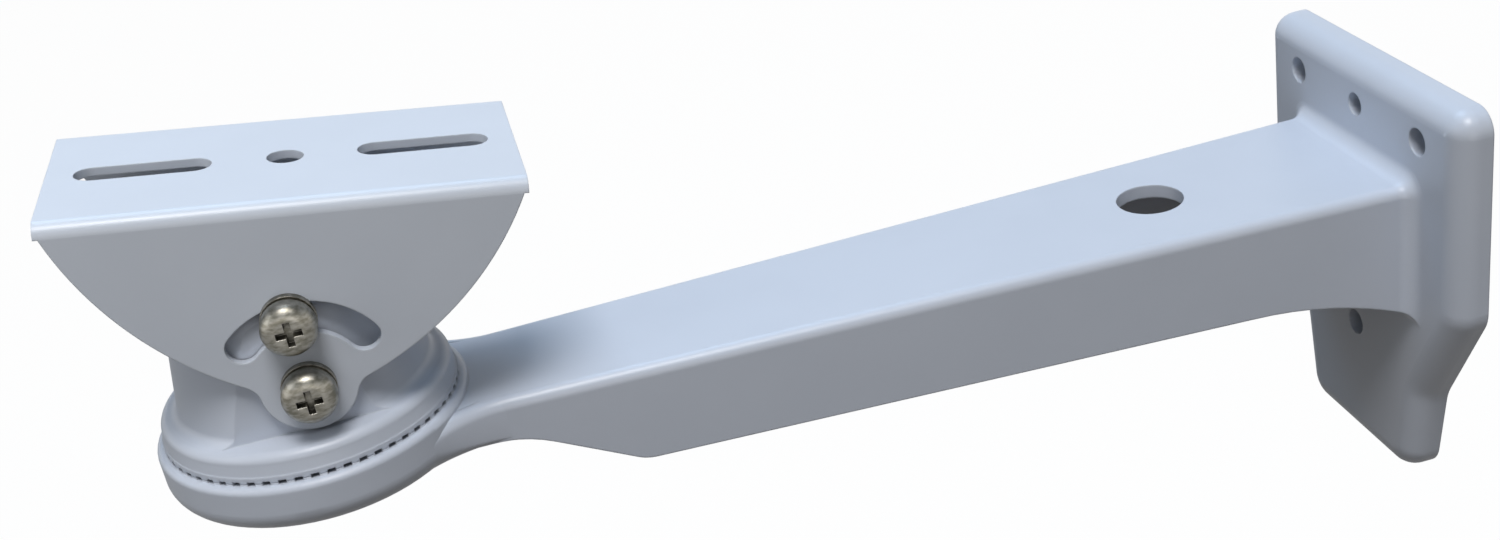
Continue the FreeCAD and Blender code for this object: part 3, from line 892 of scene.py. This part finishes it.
@dataclass(frozen=True)
class Viewpoint:
    """The photograph's camera.

    Attributes:
        eye: its place.
        yaw: the view's direction in plan, in degrees.
        pitch: how far the view looks up, in degrees, and down where it is negative.
        roll: the camera's turn about its view, in degrees.
        focal: the focal length in pixels of the photograph.
        picture_width: the photograph's width in pixels.
        sensor: the camera's sensor width, in millimetres.
        nearest: the distance from which things are seen.
    """

    eye: Triple = (0.23014, 0.38285, 0.18816)
    yaw: float = -99.21
    pitch: float = -26.37
    roll: float = -9.88
    focal: float = 1804.09
    picture_width: float = 1500.0
    sensor: float = 36.0
    nearest: float = 0.01

    def axes(self) -> tuple[Vector, Vector, Vector]:
        """The camera's right, up and forward directions.

        Returns:
            Three unit vectors.
        """
        yaw, pitch, roll = (math.radians(angle) for angle in (self.yaw, self.pitch, self.roll))
        plan = Vector((math.cos(yaw), math.sin(yaw), 0.0))
        forward = math.cos(pitch) * plan + Vector((0.0, 0.0, math.sin(pitch)))
        level = Vector((plan.y, -plan.x, 0.0))
        upright = level.cross(forward)
        right = math.cos(roll) * level + math.sin(roll) * upright
        up = math.cos(roll) * upright - math.sin(roll) * level
        return right, up, forward

    def build(self) -> None:
        """Makes the camera and looks through it."""
        data = bpy.data.cameras.new("view")
        data.sensor_width = self.sensor
        data.lens = self.focal * self.sensor / self.picture_width
        data.clip_start = self.nearest
        camera = add_object("view", data)
        right, up, forward = self.axes()
        turn = Matrix((right, up, -forward)).transposed()
        camera.matrix_world = Matrix.Translation(self.eye) @ turn.to_4x4()
        bpy.context.scene.camera = camera


@dataclass(frozen=True)
class Sky:
    """The world's light: low and even on the bracket, white to the camera.

    Attributes:
        ambient: its level at the horizon and overhead.
        horizon_tint: its colour at the horizon.
        sky_tint: its colour overhead.
        zenith: the level overhead that gloss reflects, against 1 at the horizon.
        rise: height where it starts to change, 0 for the horizon and 1 for straight up.
        light_full: height from which light and colour are those overhead.
        gloss_full: height from which gloss reflects the level overhead.
    """

    ambient: tuple[float, float] = (0.07, 0.36)
    horizon_tint: Colour = (1.0, 0.97, 0.93, 1.0)
    sky_tint: Colour = (0.76, 0.88, 1.0, 1.0)
    zenith: float = 0.15
    rise: float = 0.1
    light_full: float = 0.9
    gloss_full: float = 0.8

    def build(self) -> None:
        """Makes the world."""
        world = bpy.data.worlds.new("studio")
        bpy.context.scene.world = world
        world.use_nodes = True
        graph = Graph(world.node_tree)

        path = graph.add("LightPath").outputs
        seen = graph.math("MAXIMUM", path["Is Camera Ray"], path["Is Transmission Ray"])
        split = graph.add("SeparateXYZ")
        graph.put(graph.add("TexCoord").outputs["Generated"], split.inputs[0])
        height = split.outputs["Z"]

        reflected = graph.ramp(height, self.rise, self.gloss_full, 1.0, self.zenith)
        around = graph.ramp(height, self.rise, self.light_full, *self.ambient)
        level = graph.mix("FLOAT", path["Is Glossy Ray"], around, reflected)
        climb = graph.ramp(height, self.rise, self.light_full)
        tint = graph.mix("RGBA", climb, self.horizon_tint, self.sky_tint)

        sky = graph.add("Background")
        graph.put(graph.mix("RGBA", seen, tint, WHITE), sky.inputs["Color"])
        graph.put(graph.mix("FLOAT", seen, level, 1.0), sky.inputs["Strength"])
        graph.put(sky.outputs[0], graph.add("OutputWorld").inputs["Surface"])


@dataclass(frozen=True)
class Floor:
    """A plain pale floor, well below the bracket.

    Attributes:
        side: its side.
        drop: how far it lies below the bracket.
        shown: how much of its own shading the camera sees, with the bracket's shadow on it.
        gloss: how white it is in reflections, 1 for as white as to the camera.
        pale: its colour to the camera.
        bounce: its colour to the light that it throws back at the bracket.
    """

    side: float = 6.0
    drop: float = 0.20
    shown: float = 0.03
    gloss: float = 0.28
    pale: Colour = (0.95, 0.95, 0.95, 1.0)
    bounce: Colour = (0.095, 0.072, 0.052, 1.0)

    def dress(self) -> bpy.types.Material:
        """The floor's material: white to the camera and to gloss, with the bracket's shadow.

        Returns:
            The material.
        """
        material = bpy.data.materials.new("floor_white")
        material.use_nodes = True
        graph = Graph(material.node_tree)

        path = graph.add("LightPath").outputs
        reflected = graph.math("MULTIPLY", path["Is Glossy Ray"], self.gloss)
        seen = graph.math("MAXIMUM", path["Is Camera Ray"], reflected)
        seen = graph.math("MAXIMUM", seen, path["Is Transmission Ray"])

        shade = graph.add("BsdfDiffuse")
        graph.put(graph.mix("RGBA", seen, self.bounce, self.pale), shade.inputs["Color"])
        white = graph.add("Emission")
        white.inputs["Strength"].default_value = 1.0
        both = graph.add("MixShader")
        graph.put(graph.math("MULTIPLY", seen, 1.0 - self.shown), both.inputs[0])
        graph.put(shade.outputs[0], both.inputs[1])
        graph.put(white.outputs[0], both.inputs[2])
        graph.put(both.outputs[0], graph.add("OutputMaterial").inputs["Surface"])
        return material

    def build(self) -> None:
        """Lays the floor under the middle of the bracket."""
        low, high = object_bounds()
        middle = (Vector(low) + Vector(high)) / 2
        half = self.side / 2
        level = low[2] - self.drop
        ways = ((-1, -1), (1, -1), (1, 1), (-1, 1))
        corners = [(middle.x + x * half, middle.y + y * half, level) for x, y in ways]
        mesh = bpy.data.meshes.new("floor")
        mesh.from_pydata(corners, [], [(0, 1, 2, 3)])
        mesh.materials.append(self.dress())
        floor = add_object("floor", mesh)
        floor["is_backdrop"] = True


@dataclass(frozen=True)
class Studio:
    """Camera, world, floor and lamps.

    Attributes:
        viewpoint: the camera.
        sky: the world.
        floor: the floor.
        lamps: the lamps.
    """

    viewpoint: Viewpoint = Viewpoint()
    sky: Sky = Sky()
    floor: Floor = Floor()
    lamps: tuple[Lamp, ...] = (
        Lamp(
            name="key",
            target=ARM_MIDDLE,
            towards=(0.05, 0.38, 0.91),
            distance=1.4,
            size=0.5,
            level=0.63,
            tint=(1.0, 0.98, 0.97),
        ),
        Lamp(
            name="sky",
            target=ARM_MIDDLE,
            towards=(0.0, -0.45, 0.89),
            distance=1.4,
            size=0.7,
            level=0.34,
            tint=(0.52, 0.74, 1.0),
        ),
        Lamp(
            name="front_fill",
            target=ARM_MIDDLE,
            towards=(0.05, 0.98, 0.0),
            distance=1.4,
            size=0.7,
            level=0.08,
            tint=(1.0, 0.99, 0.98),
        ),
        Lamp(
            name="head_fill",
            target=HEAD,
            towards=(0.78, 0.30, 0.52),
            distance=0.27,
            size=0.16,
            level=0.14,
            tint=(0.98, 0.99, 1.0),
        ),
    )

    def build(self) -> None:
        """Sets up the whole studio."""
        bpy.context.scene.view_settings.view_transform = "Standard"
        self.viewpoint.build()
        self.sky.build()
        self.floor.build()
        for lamp in self.lamps:
            lamp.build()
        log.info("studio: camera, world, floor and %d lamps", len(self.lamps))


def main() -> None:
    """Builds the finishes, dresses each sub-assembly in turn and sets up the studio."""
    logging.basicConfig(level=logging.INFO, format="%(message)s")
    finishes = Finishes.build()
    ArmCasting().build(finishes)
    Swivel().build(finishes)
    Saddle().build(finishes)
    Studio().build()


if __name__ == "__main__":
    main()
